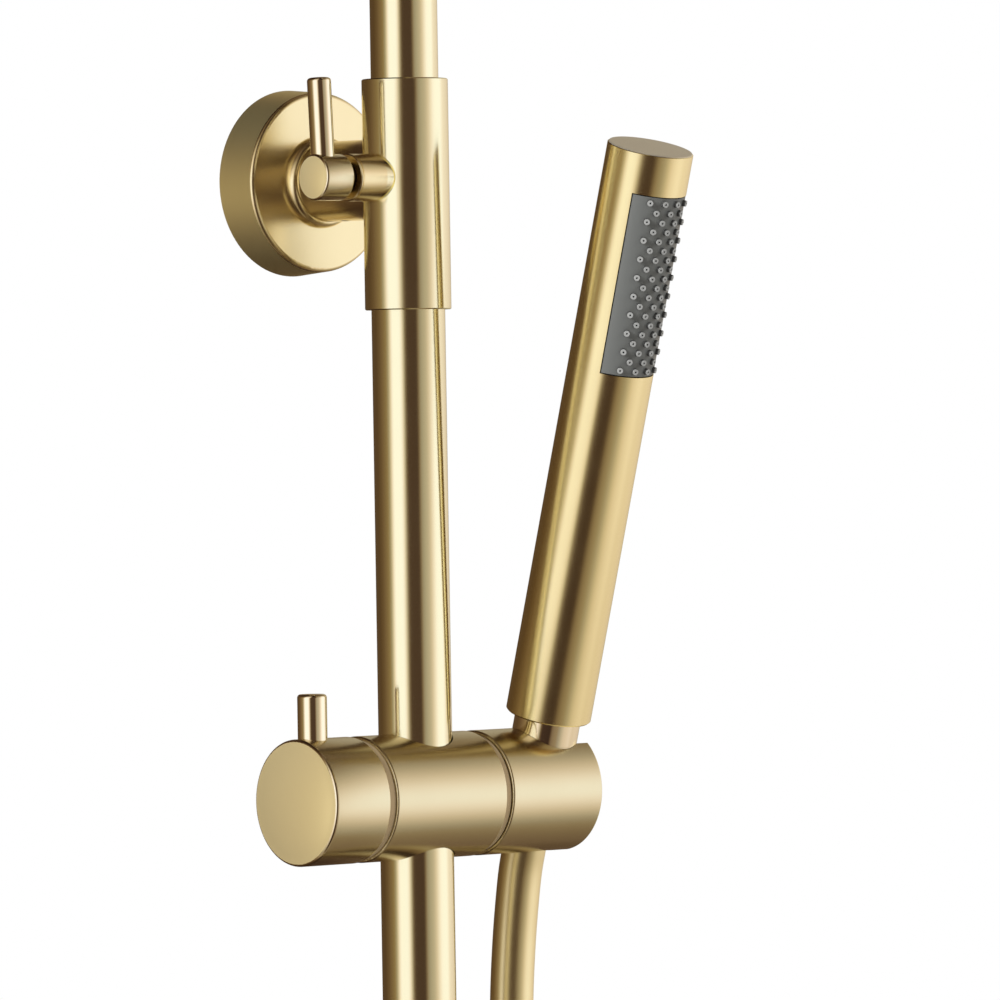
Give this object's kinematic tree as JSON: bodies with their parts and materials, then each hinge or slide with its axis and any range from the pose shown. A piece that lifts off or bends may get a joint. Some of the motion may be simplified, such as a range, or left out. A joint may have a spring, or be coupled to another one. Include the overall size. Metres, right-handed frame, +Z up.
{
  "type": "rainfall shower column",
  "caption": "Wall shower column: telescoping riser with overhead arm and rain head, sliding and tilting bracket with slim hand wand, bar mixer and hose.",
  "frame": {"origin": "centre of the wall bracket's base plate, on the wall", "axes": "+Z up along the rail, +Y into the wall, +X to the right as seen from the room"},
  "size_m": [0.268, 0.579, 1.5582],
  "materials": {
    "gold_metal": "brushed gold coating over brass, satin with sharp highlights",
    "raw_brass": "turned raw brass",
    "black_steel": "blackened steel",
    "white_plastic": "moulded acetal",
    "black_rubber": "moulded seal rubber",
    "grey_rubber": "moulded silicone",
    "gold_hose": "smooth gold-toned hose"
  },
  "bodies": {
    "column": {"wall_base_plate": "raw_brass", "wall_rosette": "gold_metal", "wall_arm": "gold_metal", "arm_grub_screw": "black_steel", "riser_sleeve": "gold_metal", "riser_seals": "black_rubber", "riser_clamp_shoe": "white_plastic", "lower_rail": "gold_metal", "riser_union_nut": "gold_metal", "rail_seal": "black_rubber", "mixer_body": "gold_metal", "flow_cartridge": "white_plastic", "temperature_cartridge": "white_plastic", "hose_outlet": "gold_metal", "hose_end_nut": "gold_metal", "hose": "gold_hose", "inlet_nuts": "gold_metal", "inlet_unions": "raw_brass", "inlet_rosettes": "gold_metal", "inlet_washers": "black_rubber"},
    "riser_lock": {"riser_clamp_screw": "raw_brass", "riser_lock_knob": "gold_metal", "riser_lock_pin": "gold_metal"},
    "riser_guide": {"riser_guide_ring": "white_plastic"},
    "riser": {"upper_riser": "gold_metal", "riser_end_plug": "white_plastic", "head_connector": "gold_metal", "head_ball": "gold_metal"},
    "ball_seat": {"ball_seat_ring": "white_plastic"},
    "rain_head": {"head_collar": "gold_metal", "head_shell": "gold_metal", "head_faceplate": "gold_metal", "head_nozzles": "grey_rubber", "ball_seal": "black_rubber"},
    "slider_carriage": {"slider_bush": "white_plastic"},
    "slider": {"slider_body": "gold_metal", "slider_clamp_shoe": "raw_brass", "lock_washer": "gold_metal", "tilt_washer": "gold_metal", "tilt_bolt": "raw_brass", "tilt_spring_washer": "black_steel"},
    "slider_lock": {"slider_clamp_screw": "raw_brass", "slider_lock_knob": "gold_metal", "slider_lock_pin": "gold_metal"},
    "holder": {"wand_holder": "gold_metal"},
    "hose_top": {"hose_swivel": "raw_brass", "wand_seal": "black_rubber"},
    "wand": {"hose_cone_nut": "gold_metal", "wand_connector": "raw_brass", "wand_body": "gold_metal", "wand_core": "white_plastic", "spray_pad": "grey_rubber"},
    "flow": {"flow_knob": "gold_metal", "flow_pin": "gold_metal", "flow_spindle": "raw_brass"},
    "temperature": {"temperature_knob": "gold_metal", "temperature_pin": "gold_metal", "temperature_spindle": "raw_brass"}
  },
  "joints": [
    {"name": "riser_slide", "type": "slide", "parent": "column", "child": "riser_guide", "axis": [0, 0, 1], "range_m": [-0.14, 0.2]},
    {"name": "riser_swivel", "type": "hinge", "parent": "riser_guide", "child": "riser", "pos_m": [0, -0.058, 0], "axis": [0, 0, 1], "range_deg": [-75, 75]},
    {"name": "riser_lock_turn", "type": "hinge", "parent": "column", "child": "riser_lock", "pos_m": [0, -0.058, 0], "axis": [-1, 0, 0], "range_deg": [0, 180]},
    {"name": "head_tilt_x", "type": "hinge", "parent": "riser", "child": "ball_seat", "pos_m": [0, -0.438, 0.15], "axis": [1, 0, 0], "range_deg": [-15, 15]},
    {"name": "head_tilt_y", "type": "hinge", "parent": "ball_seat", "child": "rain_head", "pos_m": [0, -0.438, 0.15], "axis": [0, 1, 0], "range_deg": [-15, 15]},
    {"name": "slider_slide", "type": "slide", "parent": "column", "child": "slider_carriage", "axis": [0, 0, 1], "range_m": [-0.62, 0.13], "deforming": ["hose"]},
    {"name": "slider_swivel", "type": "hinge", "parent": "slider_carriage", "child": "slider", "pos_m": [0, -0.058, -0.201], "axis": [0, 0, 1], "range_deg": [-40, 25], "deforming": ["hose"]},
    {"name": "slider_lock_turn", "type": "hinge", "parent": "slider", "child": "slider_lock", "pos_m": [0, -0.058, -0.201], "axis": [-1, 0, 0], "range_deg": [0, 180]},
    {"name": "holder_tilt", "type": "hinge", "parent": "slider", "child": "holder", "pos_m": [0.03, -0.058, -0.201], "axis": [1, 0, 0], "range_deg": [-25, 50], "deforming": ["hose"]},
    {"name": "wand_lift", "type": "slide", "parent": "holder", "child": "hose_top", "axis": [0, -0.2807, 0.9598], "range_m": [0, 0.12], "deforming": ["hose"]},
    {"name": "wand_spin", "type": "hinge", "parent": "hose_top", "child": "wand", "pos_m": [0.0518, -0.058, -0.201], "axis": [0, -0.2807, 0.9598], "continuous": true},
    {"name": "flow_turn", "type": "hinge", "parent": "column", "child": "flow", "pos_m": [-0.11, -0.058, -0.92], "axis": [-1, 0, 0], "range_deg": [-75, 75]},
    {"name": "temperature_turn", "type": "hinge", "parent": "column", "child": "temperature", "pos_m": [0.11, -0.058, -0.92], "axis": [-1, 0, 0], "range_deg": [-60, 60]}
  ]
}
